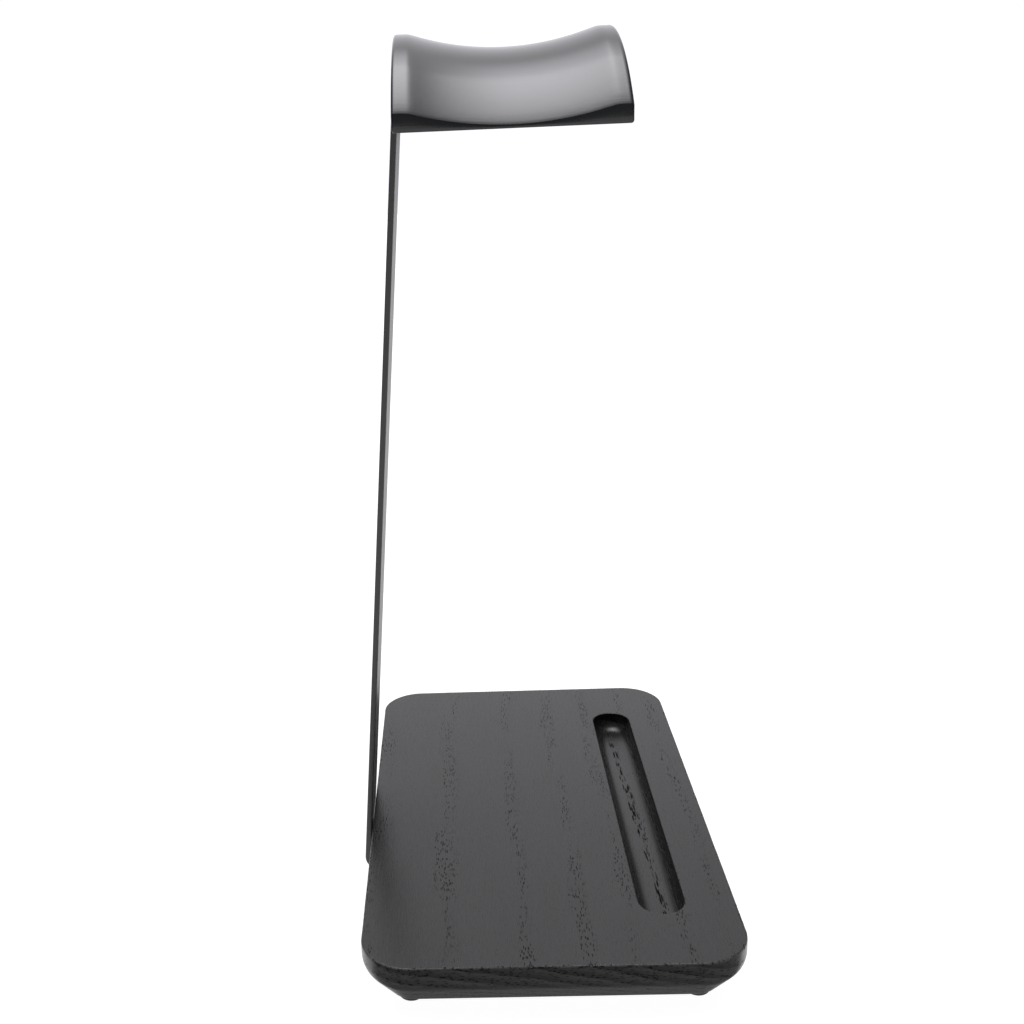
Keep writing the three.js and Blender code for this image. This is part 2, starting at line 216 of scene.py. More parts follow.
def quadratic(start, control, end, steps):
    """Points on a quadratic curve, both ends included."""
    points = []
    for i in range(steps + 1):
        t = i / steps
        points.append(tuple(
            (1 - t) ** 2 * a + 2 * t * (1 - t) * b + t ** 2 * c
            for a, b, c in zip(start, control, end)
        ))
    return points


# ---- Base board ---------------------------------------------------------------------------------


def outline(centre, length, width, radius, spacing):
    """Places and outward directions round a rectangle with round corners."""
    half_x = length / 2 - radius
    half_y = width / 2 - radius
    corners = [(half_x, -half_y), (half_x, half_y), (-half_x, half_y), (-half_x, -half_y)]
    steps = max(6, round(radius * QUARTER / spacing))
    places, directions = [], []
    for i, corner in enumerate(corners):
        start = (i - 1) * QUARTER
        for step in range(steps + 1):
            angle = start + QUARTER * step / steps
            direction = np.array((math.cos(angle), math.sin(angle)))
            places.append(np.array(centre[:2]) + corner + radius * direction)
            directions.append(direction)
        side = np.linalg.norm(np.subtract(corners[(i + 1) % 4], corner))
        pieces = round(side / spacing)
        for step in range(1, pieces):
            along = np.subtract(corners[(i + 1) % 4], corner) * step / pieces
            directions.append(direction)
            places.append(np.array(centre[:2]) + corner + radius * direction + along)
    return places, directions


def edge_rows():
    """(inset, height) up the board's edge: lower ease, bevel, soft turn, band, eased top edge."""
    low, high = BASE_LOW[2], BASE_HIGH[2]
    bevel_top = high - BASE_BAND
    slope = np.array((-BASE_BEVEL_INSET, bevel_top - low))
    slope /= np.linalg.norm(slope)
    foot = (BASE_BEVEL_INSET - slope[0] * -BASE_LOWER_EASE, low + slope[1] * BASE_LOWER_EASE)
    turn = (-slope[0] * BASE_BLEND, bevel_top - slope[1] * BASE_BLEND)
    rows = [(BASE_BEVEL_INSET + 3 * BASE_LOWER_EASE, low)]
    rows += quadratic((BASE_BEVEL_INSET + BASE_LOWER_EASE, low), (BASE_BEVEL_INSET, low), foot, 4)
    rows += [tuple(np.add(foot, np.subtract(turn, foot) * share)) for share in (0.15, 0.5, 0.9)]
    rows += quadratic(turn, (0, bevel_top), (0, bevel_top + BASE_BLEND), 6)
    rows += [(0, high - 2.4), (0, high - 1.5), (0, high - 1.0)]
    rows += quadratic((0, high - BASE_EASE), (0, high), (BASE_EASE, high), 5)
    rows += [(BASE_EASE + 0.5, high), (BASE_EASE + 1.4, high)]
    return rows


def groove_rows():
    """(inset, height) from the top of the board down into the groove."""
    top = BASE_HIGH[2]
    floor = top - GROOVE_DEPTH
    rows = [(-GROOVE_LIP - 1.2, top), (-GROOVE_LIP - 0.4, top)]
    rows += quadratic((-GROOVE_LIP, top), (0, top), (0, top - GROOVE_LIP), 4)
    rows += [(0, top - GROOVE_LIP - 0.5), (0, floor + GROOVE_COVE + 0.5)]
    for step in range(7):
        angle = QUARTER * step / 6
        rows.append((GROOVE_COVE * (1 - math.cos(angle)), floor + GROOVE_COVE * (1 - math.sin(angle))))
    rows.append((GROOVE_COVE + 0.6, floor))
    return rows


def wander(place, scale, layer):
    """Smooth noise over the board, from -1 to 1. scale: its cells per millimetre."""
    return noise.noise(Vector((place[0] * scale, place[1] * scale, layer)))


def worn(place, direction, inset, height):
    """A point of the board's edge, moved inwards where the top edge has been rubbed."""
    inwards, downwards = WORN_REACH
    near_top = max(0.0, 1 - (BASE_HIGH[2] - height) / downwards) * max(0.0, 1 - inset / inwards)
    coarse = wander(place, 0.11, 4.2)
    fine = wander(place, 0.7, 9.1)
    amount = WORN_DEPTH * near_top * max(0.0, 0.5 + 0.6 * coarse + 0.5 * fine)
    x, y = np.array(place) - np.array(direction) * (inset + amount)
    return x, y, height - amount * 0.5


def board_body():
    size = BASE_HIGH - BASE_LOW
    edge = outline(BASE_CENTRE, size[0], size[1], BASE_CORNER_RADIUS, BASE_POINT_SPACING)
    end_radius = GROOVE_WIDTH / 2
    groove = outline(GROOVE_CENTRE, GROOVE_LENGTH, GROOVE_WIDTH, end_radius, BASE_POINT_SPACING)
    outer = [[worn(p, d, inset, height) for p, d in zip(*edge)] for inset, height in edge_rows()]
    inner = [[(*(p - d * inset), height) for p, d in zip(*groove)] for inset, height in groove_rows()]
    points = [point for ring in outer + inner for point in ring]
    outer_count, inner_count = len(edge[0]), len(groove[0])
    inner_start = len(outer) * outer_count
    faces = loft_faces(len(outer), outer_count)
    faces += [
        tuple(index + inner_start for index in face)
        for face in loft_faces(len(inner), inner_count)
    ]
    faces.append(tuple(range(outer_count)))
    faces.append(tuple(range(len(points) - inner_count, len(points))))
    board = mesh_from("board", points, faces)
    fill_top(board)
    return board


def fill_top(board):
    """Closes the flat top between the board's outer edge and the groove."""
    shape = bmesh.new()
    shape.from_mesh(board.data)
    rim = [edge for edge in shape.edges if edge.is_boundary]
    bmesh.ops.triangle_fill(shape, use_beauty=True, edges=rim, normal=(0, 0, 1))
    bmesh.ops.recalc_face_normals(shape, faces=shape.faces)
    shape.to_mesh(board.data)
    shape.free()
    shade(board.data)


def mark_wear(board):
    """Stores how rubbed each point is: most on the top edge and the lip of the groove."""
    size = BASE_HIGH - BASE_LOW
    groove_half = np.array((GROOVE_LENGTH, GROOVE_WIDTH)) / 2
    layer = board.data.attributes.new("wear", "FLOAT", "POINT")
    for i, vertex in enumerate(board.data.vertices):
        point = np.array(vertex.co) / MM
        depth = BASE_HIGH[2] - point[2]
        from_edge = rounded_distance(point[:2] - BASE_CENTRE[:2], size[:2] / 2, BASE_CORNER_RADIUS)
        from_lip = rounded_distance(point[:2] - GROOVE_CENTRE, groove_half, GROOVE_WIDTH / 2)
        edge = math.hypot(max(0, depth - BASE_EASE / 2), max(0, -from_edge - BASE_EASE / 2))
        lip = math.hypot(max(0, depth - GROOVE_LIP), max(0, from_lip - GROOVE_LIP))
        layer.data[i].value = max(0.0, 1 - edge / EDGE_WEAR_REACH, LIP_WEAR - lip / LIP_WEAR_REACH)


def rounded_distance(point, half, radius):
    """Distance from a rectangle with round corners, negative inside it."""
    reach = np.abs(point) - (half - radius)
    outside = np.linalg.norm(np.maximum(reach, 0))
    return outside + min(max(reach[0], reach[1]), 0) - radius


def recess_cutters():
    """Room under the board for the strip's foot, and the holes for the inserts."""
    slot = POST_HIGH[0] + CLEARANCE
    front = POST_HIGH[1] - FOOT_TONGUE_FROM_BACK - FOOT_TONGUE_RECESS
    ceiling = insert_seat("base_insert_1")
    recess = box_cutter((-slot, front, BASE_LOW[2] - 2), (slot, BASE_HIGH[1] + 2, ceiling))
    return [recess] + [insert_hole(f"base_insert_{i}") for i in (1, 2, 3)]


def insert_seat(node):
    return node_box(node)[0][2]


def insert_hole(node):
    low, high = node_box(node)
    centre = (low + high) / 2
    radius = INSERT_RADIUS + CLEARANCE / 3
    rows = [(radius, -2.0), (radius, high[2] - low[2] + 0.8)]
    return turned("cutter", rows, 48, (centre[0], centre[1], low[2]))


def base_board():
    board = cut(board_body(), recess_cutters())
    mark_wear(board)
    return board


# ---- Post ---------------------------------------------------------------------------------------


def strip_line():
    """Stations along the strip's middle: (place in YZ, direction across it, distance from the
    end of its tongue, which is only told near the end)."""
    middle = POST_BEND + POST_THICKNESS / 2
    outer = POST_BEND + POST_THICKNESS
    low = np.array((POST_HIGH[1] - outer, POST_LOW[2] + outer))
    high_z = POST_HIGH[2] - outer
    high = np.array((low[0] - (high_z - low[1]) * math.tan(POST_LEAN), high_z))
    foot_y = POST_HIGH[1] - FOOT_TONGUE_FROM_BACK
    foot_z = low[1] - middle
    head_z = high[1] + middle
    down, up = np.array((0.0, -1.0)), np.array((0.0, 1.0))
    line = [((foot_y + reach, foot_z), down, reach) for reach in end_reaches()]
    line += [((low[0] - 10, foot_z), down, math.inf), ((low[0] - 1, foot_z), down, math.inf)]
    line += bend(low, middle, -QUARTER, POST_LEAN)
    out = np.array((math.cos(POST_LEAN), math.sin(POST_LEAN)))
    run = high - low
    for share in UPRIGHT_STATIONS:
        line.append((low + run * share + out * middle, out, math.inf))
    line += bend(high, middle, POST_LEAN, QUARTER)
    line += [((high[0] - 1, head_z), up, math.inf), ((high[0] - 10, head_z), up, math.inf)]
    line += [((POST_LOW[1] + reach, head_z), up, reach) for reach in reversed(end_reaches())]
    return line


def bend(centre, radius, start, end):
    steps = 16
    stations = []
    for i in range(steps + 1):
        angle = start + (end - start) * i / steps
        out = np.array((math.cos(angle), math.sin(angle)))
        stations.append((centre + out * radius, out, math.inf))
    return stations


def end_reaches():
    """Distances from a tongue's end, closer together on its round corners."""
    angles = [QUARTER * i / 8 for i in range(2, 9)]
    reaches = [0.0, POST_EDGE * 0.3, POST_EDGE]
    reaches += [POST_CORNER * (1 - math.cos(angle)) for angle in angles]
    return reaches + [POST_CORNER + 1]


def strip_section(half_width, half_thickness):
    """Corners of a flat bar with rounded edges, with points on the flats beside each edge."""
    edge = min(POST_EDGE, half_thickness * 0.9)
    points = []
    for quarter, (side_x, side_n) in enumerate(((1, 1), (-1, 1), (-1, -1), (1, -1))):
        centre = np.array((side_x * (half_width - edge), side_n * (half_thickness - edge)))
        arc = [
            centre + edge * np.array((math.cos(angle), math.sin(angle)))
            for angle in (quarter * QUARTER + QUARTER * i / 4 for i in range(5))
        ]
        support = (centre[0] - side_x * 0.6, side_n * half_thickness)
        points += arc + [support] if quarter % 2 == 0 else [support] + arc
    return points


def strip_ring(place, out, reach):
    half_width = POST_HIGH[0]
    half_thickness = POST_THICKNESS / 2
    if reach < POST_CORNER:
        half_width -= POST_CORNER - math.sqrt(POST_CORNER ** 2 - (POST_CORNER - reach) ** 2)
    if reach < POST_EDGE:
        sunk = POST_EDGE - math.sqrt(POST_EDGE ** 2 - (POST_EDGE - reach) ** 2)
        half_width -= sunk * 0.5
        half_thickness -= sunk
    return [
        (x, place[0] + out[0] * n, place[1] + out[1] * n)
        for x, n in strip_section(half_width, half_thickness)
    ]


def post_strip():
    strip = loft("strip", [strip_ring(*station) for station in strip_line()])
    cutters = [countersink_cutter(f"base_screw_{i}") for i in (1, 2, 3)]
    cutters += [clearance_cutter(f"headrest_screw_{i}") for i in (1, 2)]
    return cut(strip, cutters)


def countersink_cutter(node):
    low, high = node_box(node)
    centre = (low + high) / 2
    mouth = (high[0] - low[0]) / 2 + 1.5 * CLEARANCE
    top = mouth - SCREW_HOLE
    rows = [(mouth + 2, -2), (mouth, 0), (SCREW_HOLE, top), (SCREW_HOLE, POST_THICKNESS + 2)]
    return turned("cutter", rows, 48, (centre[0], centre[1], POST_LOW[2]))


def clearance_cutter(node):
    low, high = node_box(node)
    centre = (low + high) / 2
    bottom = POST_HIGH[2] - POST_THICKNESS
    rows = [(SCREW_HOLE + 0.5, -1), (SCREW_HOLE, 0.2), (SCREW_HOLE, POST_THICKNESS + 1)]
    return turned("cutter", rows, 48, (centre[0], centre[1], bottom))


# ---- Headrest -----------------------------------------------------------------------------------


def saddle_depth(x, y):
    """Depth below the ridges at (x, y) from the middle, soft where a ridge begins."""
    half_chord = (HEAD_HIGH[1] - HEAD_LOW[1]) / 2 - RIDGE_WIDTH
    towards_end = (x / HEAD_HIGH[0]) ** 2
    dip = SADDLE_DIP + (SADDLE_END_DIP - SADDLE_DIP) * towards_end
    radius = (half_chord ** 2 + dip ** 2) / (2 * dip)
    depth = math.sqrt(radius ** 2 - y ** 2) - (radius - dip)
    return (depth + math.hypot(depth, SADDLE_SOFTNESS)) / 2


def filleted(points, corner, radius, steps):
    """The polyline with the point at index `corner` replaced by an arc."""
    before, at, after = (np.array(points[(corner + i) % len(points)]) for i in (-1, 0, 1))
    back = (before - at) / np.linalg.norm(before - at)
    ahead = (after - at) / np.linalg.norm(after - at)
    half_turn = math.acos(np.clip(np.dot(back, ahead), -1, 1)) / 2
    reach = radius / math.tan(half_turn)
    start, end = at + back * reach, at + ahead * reach
    arc = quadratic(start, at, end, steps)
    return points[:corner] + arc + points[corner + 1:]


def head_section(y, inset):
    """The headrest cut across at one y: (x, z) round it, drawn in from its surface by inset."""
    half = (HEAD_HIGH[0] - HEAD_LOW[0]) / 2 - inset
    low = HEAD_LOW[2] + inset
    crest = HEAD_HIGH[2] - inset
    radius = ARCH_RADIUS - inset
    hollow_radius = (UNDERSIDE_HALF ** 2 + UNDERSIDE_RISE ** 2) / (2 * UNDERSIDE_RISE)
    hollow_centre = HEAD_LOW[2] + UNDERSIDE_RISE - hollow_radius
    hollow_radius += inset
    hollow_half = math.sqrt(hollow_radius ** 2 - (low - hollow_centre) ** 2)
    top_angle = math.asin(half / radius)
    hollow_angle = math.asin(hollow_half / hollow_radius)
    points = []
    for i in range(ARCH_STEPS + 1):
        angle = top_angle * (1 - 2 * i / ARCH_STEPS)
        x = radius * math.sin(angle)
        points.append((x, crest - radius * (1 - math.cos(angle)) - saddle_depth(x, y)))
    points += [(-half, low)]
    hollow = []
    for i in range(HOLLOW_STEPS + 1):
        angle = hollow_angle * (2 * i / HOLLOW_STEPS - 1)
        hollow.append((
            hollow_radius * math.sin(angle),
            hollow_centre + hollow_radius * math.cos(angle),
        ))
    points += hollow + [(half, low)]
    lower = ARCH_STEPS + 1
    for corner in (len(points) - 1, lower + len(hollow), lower + 1, lower, ARCH_STEPS, 0):
        points = filleted(points, corner, HEAD_FILLET, 4)
    return points


def head_stations():
    """(y from the middle, inset) from the front end to the back end."""
    half = (HEAD_HIGH[1] - HEAD_LOW[1]) / 2
    rounding = []
    for i in range(6):
        angle = QUARTER * i / 5
        y = half - HEAD_END_ROUNDING * (1 - math.sin(angle))
        rounding.append((y, HEAD_END_ROUNDING * (1 - math.cos(angle))))
    rounding.append((half, HEAD_END_ROUNDING + 0.7))
    inner = half - HEAD_END_ROUNDING
    chord = half - RIDGE_WIDTH
    near = [inner - 0.5] + [chord + offset for offset in RIDGE_STATIONS]
    across = list(np.linspace(chord - 3.5, 0, 18))
    side = [(y, 0.0) for y in across[::-1] + near[::-1]] + rounding
    return [(-y, inset) for y, inset in side[:0:-1]] + side


def headrest():
    centre_y = (HEAD_LOW[1] + HEAD_HIGH[1]) / 2
    rings = []
    for y, inset in head_stations():
        rings.append([(x, centre_y + y, z) for x, z in head_section(y, inset)])
    saddle = loft("saddle", rings)
    slot = POST_HIGH[0] + CLEARANCE
    seat = box_cutter(
        (-slot, POST_LOW[1] - CLEARANCE, HEAD_LOW[2] - 2),
        (slot, HEAD_HIGH[1] + 2, insert_seat("headrest_insert_1")),
    )
    return cut(saddle, [seat] + [insert_hole(f"headrest_insert_{i}") for i in (1, 2)])


# ---- Fasteners and feet -------------------------------------------------------------------------


def thread_radius(crest, height, fade=1.0):
    """A helical thread: radius by angle at one height."""
    def radius(angle):
        turn = (height / THREAD_PITCH - angle / (2 * math.pi)) % 1
        return crest - THREAD_DEPTH * fade * abs(2 * turn - 1)
    return radius


def thread_rows(crest, start, end):
    steps = round((end - start) / THREAD_PITCH * 6)
    rows = []
    for i in range(steps + 1):
        height = start + (end - start) * i / steps
        fade = min(1.0, 4 * i / steps)
        rows.append((thread_radius(crest, height, fade), height))
    return rows


def hex_socket():
    """The cutter for a hexagon socket, with a small chamfer at its mouth."""
    corner = SOCKET_FLATS / 2 / math.cos(math.pi / 6)
    hexagon = [(corner * math.cos(a), corner * math.sin(a)) for a in np.arange(6) * math.pi / 3]
    levels = (-1.0, SOCKET_DEPTH)
    walls = loft("cutter", [[(x, y, z) for x, y in hexagon] for z in levels])
    mouth = turned("cutter", [(corner + 1.15, -1.0), (corner - 0.15, 0.3)], 48)
    return [walls, mouth]


def screw(name, head_rows, shank_start, length):
    """A machine screw standing on its head's outer face, at height 0."""
    rows = head_rows + [(SHANK_RADIUS, shank_start + 0.15)]
    rows += thread_rows(SHANK_RADIUS, shank_start + 0.3, length - 0.5)
    rows += [(SHANK_RADIUS - 0.45, length - 0.1), (SHANK_RADIUS - 0.6, length)]
    return cut(turned(name, rows, 48), hex_socket())


def countersunk_head():
    """(radius, height) up the head, and where the shank starts."""
    rows = [(3.3, 0.0), (3.62, 0.0)]
    rows += quadratic((3.68, 0.0), (HEAD_RADIUS, 0.0), (HEAD_RADIUS, 0.1), 3)
    return rows + [(3.72, 0.22), (2.06, 1.76)], 1.8


def button_head():
    """(radius, height) up the head, and where the shank starts."""
    rows = [(1.8, 0.0)]
    rows += quadratic((2.09, 0.0), (3.62, 0.12), (HEAD_RADIUS, 1.5), 10)
    rows += [(HEAD_RADIUS, 2.05)]
    rows += quadratic((3.78, 2.16), (3.76, 2.2), (3.66, 2.2), 2)
    return rows + [(2.2, 2.2)], 2.2


def knurled(height, slant):
    def radius(angle):
        wave = math.cos(KNURLS * angle + slant * height * KNURL_SLANT)
        return INSERT_RADIUS - KNURL_DEPTH * (1 - wave)
    return radius


def threaded_insert(name):
    """A sleeve with two knurled bands, a waist between them, and a thread in its bore."""
    rows = [(INSERT_RADIUS - 0.4, 0.0)]
    for start, end, slant in ((0.25, 2.8, 1), (4.5, 6.6, -1)):
        rows += [(knurled(z, slant), z) for z in np.linspace(start, end, 7)]
        rows += [(INSERT_RADIUS - 0.45, end + 0.2)]
    mouth = BORE_RADIUS + 0.13
    rows += [(INSERT_RADIUS - 0.6, INSERT_LENGTH), (mouth, INSERT_LENGTH)]
    for z in np.linspace(INSERT_LENGTH - 0.3, 0.3, 44):
        rows.append((thread_radius(BORE_RADIUS, z + THREAD_PITCH / 2), z))
    rows += [(mouth, 0.0)]
    return turned(name, rows, 80, closed=True)


def bumper_foot(name):
    """A domed rubber bumper with a faint mould line and its adhesive disc."""
    rows = [(1.2, 0.0), (1.85, 0.0)]
    rows += quadratic((2.0, 0.0), (4.26, 0.0), (4.26, 1.35), 14)
    rows += [(4.3, 1.41), (4.3, 1.5), (4.26, 1.56), (4.26, 1.75)]
    rows += quadratic((4.26, 1.8), (4.26, 1.92), (4.13, 1.92), 3)
    rows += [(4.0, 1.92), (4.0, 2.0), (3.2, 2.0)]
    return turned(name, rows, 72)


# ---- Materials ----------------------------------------------------------------------------------


MIX_A, MIX_B, MIX_RESULT = 6, 7, 2  # the colour sockets of Blender's Mix node


class Nodes:
    """A node tree under construction."""

    def __init__(self, tree):
        self.tree = tree

    def put(self, socket, value):
        """Links a socket to the input, or sets the input to a plain value."""
        if isinstance(value, bpy.types.NodeSocket):
            self.tree.links.new(value, socket)
        else:
            socket.default_value = value

    def add(self, kind, inputs=None, **settings):
        node = self.tree.nodes.new(kind)
        for key, value in settings.items():
            setattr(node, key, value)
        for key, value in (inputs or {}).items():
            self.put(node.inputs[key], value)
        return node

    def math(self, operation, a, b=0.0):
        return self.add("ShaderNodeMath", {0: a, 1: b}, operation=operation).outputs[0]

    def smooth(self, value, low, high, to_low=0.0, to_high=1.0):
        """Smoothly from to_low to to_high while value goes from low to high."""
        inputs = {
            "Value": value, "From Min": low, "From Max": high, "To Min": to_low, "To Max": to_high,
        }
        return self.add("ShaderNodeMapRange", inputs, interpolation_type="SMOOTHSTEP").outputs[0]


class Look(Nodes):
    """A material under construction, around one Principled shader."""

    def __init__(self, name, **fixed):
        self.material = bpy.data.materials.new(name)
        self.material.use_nodes = True
        super().__init__(self.material.node_tree)
        self.shader = self.tree.nodes["Principled BSDF"]
        for socket, value in fixed.items():
            self.put(self.shader.inputs[socket.replace("_", " ")], value)
        self.place = self.add("ShaderNodeTexCoord").outputs["Object"]

    def scaled(self, scale, location=(0, 0, 0)):
        """The piece's own coordinates in millimetres, times scale, plus location."""
        inputs = {
            "Vector": self.place,
            "Scale": [value / MM for value in scale],
            "Location": location,
        }
        return self.add("ShaderNodeMapping", inputs).outputs[0]

    def noise(self, scale, detail=2.0, roughness=0.5):
        """Noise from 0 to 1. scale: its cells per millimetre along X, Y and Z."""
        inputs = {
            "Vector": self.scaled(scale), "Scale": 1.0, "Detail": detail, "Roughness": roughness,
        }
        return self.add("ShaderNodeTexNoise", inputs).outputs["Fac"]

    def vary(self, start, value, amount):
        """start, plus amount where value is 1."""
        return self.math("ADD", start, self.math("MULTIPLY", value, amount))

    def mix(self, share, a, b):
        """Colour a at share 0 and b at share 1."""
        inputs = {"Factor": share, MIX_A: a, MIX_B: b}
        return self.add("ShaderNodeMix", inputs, data_type="RGBA").outputs[MIX_RESULT]

    def bump(self, height, depth, normal=None):
        """Relief of the given depth in millimetres where height goes from 0 to 1."""
        inputs = {"Height": height, "Strength": 1.0, "Distance": depth * MM}
        if normal:
            inputs["Normal"] = normal
        return self.add("ShaderNodeBump", inputs).outputs[0]

    def finish(self, color=None, roughness=None, normal=None):
        for socket, value in (("Base Color", color), ("Roughness", roughness), ("Normal", normal)):
            if value is not None:
                self.put(self.shader.inputs[socket], value)
        return self.material


def grey(value, warmth=0.0):
    """A grey, warmer for a positive and bluer for a negative warmth."""
    return (value * (1 + warmth), value, value * (1 - warmth), 1)


TOP_DARK = (0.0120, 0.0109, 0.0094, 1)
TOP_LIGHT = (0.0158, 0.0139, 0.0124, 1)
FIBRE_LIGHT = (0.0230, 0.0210, 0.0205, 1)
TOP_PORES = 0.70                # how dark the pores are on the faces along the grain
# The dark of the end grain's rings, also the colour of the painted shade on the faces that look down
END_DARK_AND_UNDERSIDE_SHADE = grey(0.005)
END_LIGHT = grey(0.020, 0.03)
# Colour of the pores, and of the painted shade in the groove's walls
PORE_DARK = grey(0.003)
RUBBED = grey(0.09, 0.02)
UNDERSIDE_PAINTED_SHADE = 0.70               # how much painted shade darkens the colour and dims the reflection of the faces that look down
WOOD_SHINE = 0.21               # least roughness, between the pores
END_SHINE = 0.75                # roughness of the end grain
PORE_SHINE = 0.95               # and of the pores
RING_SPACING = 3.6
RING_CENTRE = (0, 127.6, -657.0)  # the tree's heart, below and behind the board
RING_PHASE = -0.27              # moves the rings outwards, in rings


def pores(look, spacing, low, high):
    """Cells at the given spacing in millimetres: 1 inside a pore, 0 outside.
    low and high are where a pore's wall starts and ends, as shares of the spacing."""
    cells = look.add(
        "ShaderNodeTexVoronoi",
        {"Vector": look.scaled([1 / value for value in spacing]), "Scale": 1.0, "Randomness": 1.0},
        feature="F1",
    )
    return look.smooth(cells.outputs["Distance"], low, high, 1.0, 0.0)


def ring_phase(look):
    """How far a point is through its growth ring, 0 to 1 outwards from the tree's heart."""
    drift = look.noise((0.013, 0.05, 0.05), detail=2.0)
    ripple = look.noise((0.06, 0.25, 0.25), detail=2.0)
    heart = [-value for value in RING_CENTRE]
    from_heart = look.add("ShaderNodeMapping", {
        "Vector": look.place, "Scale": (0, 1 / MM, 1 / MM), "Location": heart,
    }).outputs[0]
    radius = look.add("ShaderNodeVectorMath", {0: from_heart}, operation="LENGTH").outputs["Value"]
    radius = look.vary(radius, drift, 2.4)
    radius = look.vary(radius, ripple, 0.5)
    rings = look.math("ADD", look.math("DIVIDE", radius, RING_SPACING), RING_PHASE)
    return look.math("FRACT", rings)


def stained_ash():
    """Open-pored ash, stained black: pores along the growth rings, fibres, a rubbed edge, and painted
    shade on the faces that look down and in the groove's walls.
    """
    look = Look("stained_ash", IOR=1.5, Specular_IOR_Level=0.46, Sheen_Weight=0.04,
                Sheen_Roughness=0.35)
    phase = ring_phase(look)
    along, upward = facing(look)
    end_grain = look.smooth(look.math("ABSOLUTE", along), 0.5, 0.8)
    # Painted shade: faces that look down are mixed towards the end grain's dark colour
    painted_underside_shade = look.smooth(upward, -0.5, -0.1, UNDERSIDE_PAINTED_SHADE, 0.0)
    wear = look.add("ShaderNodeAttribute", attribute_name="wear").outputs["Fac"]
    fibre = look.noise((0.08, 3.2, 3.2), detail=3.0, roughness=0.6)
    pore = long_pores(look, phase)
    # The pores here include painted shade crowded into the groove's walls and coves
    for extra in (open_ends(look, phase, end_grain), groove_vein_and_shade(look, phase), bites(look, wear)):
        pore = look.math("MAXIMUM", pore, extra)
    # Painted shade on the faces that look down
    wood = look.mix(painted_underside_shade, wood_between_pores(look, phase, fibre, end_grain), END_DARK_AND_UNDERSIDE_SHADE)
    wood = look.mix(rubbed(look, wear), wood, RUBBED)
    wood = look.mix(look.math("MULTIPLY", pore, 0.85), wood, PORE_DARK)
    shine = look.vary(WOOD_SHINE, fibre, 0.14)
    for rough, share in ((end_grain, END_SHINE), (pore, PORE_SHINE)):
        shine = look.math("MAXIMUM", shine, look.math("MULTIPLY", rough, share))
    dull_and_painted_shade = look.math("MULTIPLY", dull_rings(look, phase), end_grain)
    # The reflection is dimmed on dull rings and pores, and as painted shade on the faces that look
    # down
    dull_and_painted_shade = look.math("ADD", look.math("MAXIMUM", dull_and_painted_shade, pore), painted_underside_shade)
    look.put(look.shader.inputs["Specular Tint"], look.mix(dull_and_painted_shade, grey(1.0), grey(0.1)))
    relief = look.bump(fibre, 0.018)
    relief = look.bump(look.math("SUBTRACT", 1.0, pore), 0.10, relief)
    return look.finish(wood, shine, relief)


def wood_between_pores(look, phase, fibre, end_grain):
    """The stain's colour: uneven patches and fibres on the faces, rings on the end grain."""
    patch = look.noise((0.02, 0.10, 0.10), detail=3.0)
    late = look.smooth(phase, 0.30, 0.85)
    wood = look.mix(look.smooth(patch, 0.35, 0.65), TOP_DARK, TOP_LIGHT)
    wood = look.mix(look.smooth(fibre, 0.45, 0.75, 0.0, 0.4), wood, FIBRE_LIGHT)
    return look.mix(end_grain, wood, look.mix(late, END_DARK_AND_UNDERSIDE_SHADE, END_LIGHT))


def dull_rings(look, phase):
    """Where the end grain reflects less: the open start of each ring, and fine lines."""
    lines = look.noise((0.02, 0.22, 2.0), detail=3.0, roughness=0.65)
    starts = look.smooth(phase, 0.1, 0.6, 0.25, 0.0)
    return look.math("MAXIMUM", starts, look.smooth(lines, 0.50, 0.62, 0.0, 0.45))


def long_pores(look, phase):
    """Pores cut lengthways: short dark dashes in loose bands where each ring begins."""
    band = look.math("MULTIPLY", look.smooth(phase, 0.0, 0.04), look.smooth(phase, 0.2, 0.42, 1, 0))
    clusters = look.noise((0.03, 0.16, 0.16), detail=3.0, roughness=0.6)
    clusters = look.math("MULTIPLY", look.smooth(clusters, 0.36, 0.54, 0.0, TOP_PORES), band)
    large = look.math("MULTIPLY", pores(look, (2.6, 0.6, 0.6), 0.25, 0.38), clusters)
    small = pores(look, (2.6, 0.36, 0.36), 0.10, 0.17)
    return look.math("MAXIMUM", large, look.math("MULTIPLY", small, 0.5))


def open_ends(look, phase, end_grain):
    """Pores cut across, on the end grain: dots, most of them where a ring begins."""
    dots = look.math("MULTIPLY", pores(look, (9.0, 1.7, 0.8), 0.28, 0.40), end_grain)
    return look.math("MULTIPLY", dots, look.smooth(phase, 0.15, 0.6, 1.0, 0.6))


def bites(look, wear):
    """Pores that break up the rubbed edges."""
    coarse = look.noise((0.9, 0.9, 0.9), detail=3.0, roughness=0.7)
    return look.math("MULTIPLY", look.smooth(coarse, 0.56, 0.62), look.smooth(wear, 0.1, 0.5))


